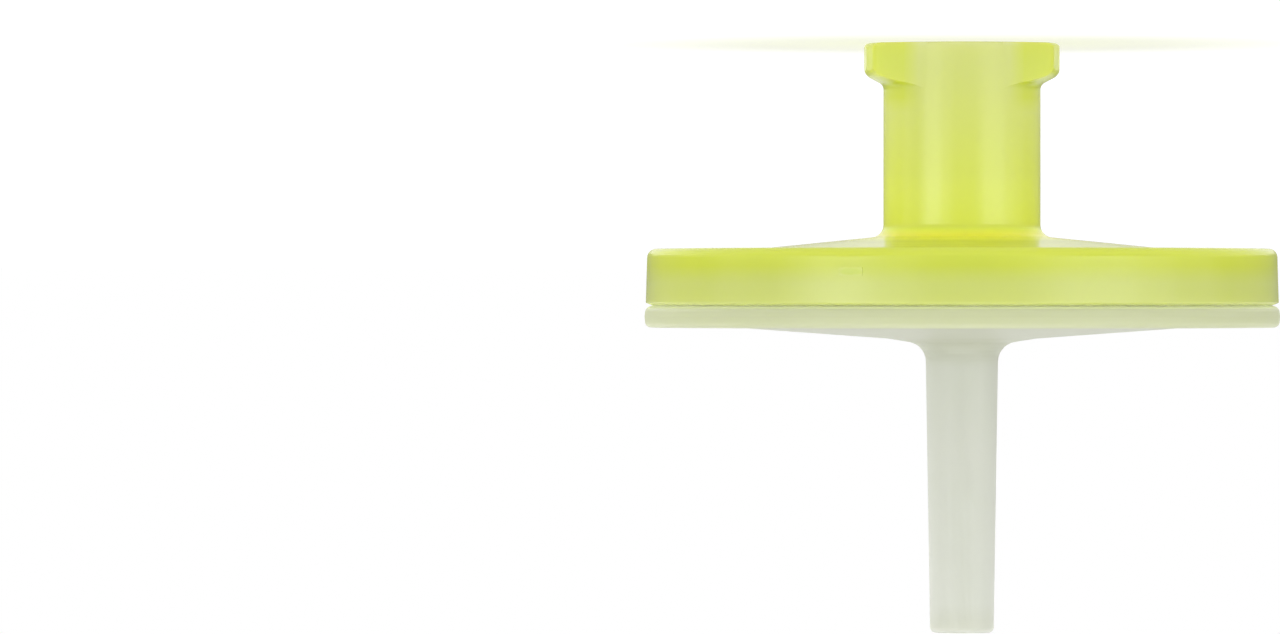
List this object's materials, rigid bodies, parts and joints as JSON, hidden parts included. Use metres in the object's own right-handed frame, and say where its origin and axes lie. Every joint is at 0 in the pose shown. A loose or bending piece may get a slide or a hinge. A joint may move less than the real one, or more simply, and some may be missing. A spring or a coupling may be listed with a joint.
{
  "type": "syringe filter",
  "caption": "Disc-shaped syringe filter with a luer-lock inlet hub, a membrane sealed between two translucent plastic housings and a slim tapered outlet tip.",
  "frame": {"origin": "centre of the inlet rim, which is the plane that the filter stands on", "axes": "+Z along the filter's axis in the direction of flow, from the luer-lock inlet up to the outlet tip; +X through one of the two lugs"},
  "size_m": [0.0252, 0.0252, 0.0235],
  "materials": {
    "yellow_plastic": "translucent yellow-green polypropylene, smooth moulded surface",
    "natural_plastic": "translucent undyed polypropylene, smooth moulded surface",
    "membrane_film": "white microporous film"
  },
  "bodies": {
    "root": {"inlet_housing": "yellow_plastic", "membrane": "membrane_film", "outlet_housing": "natural_plastic"}
  },
  "joints": []
}
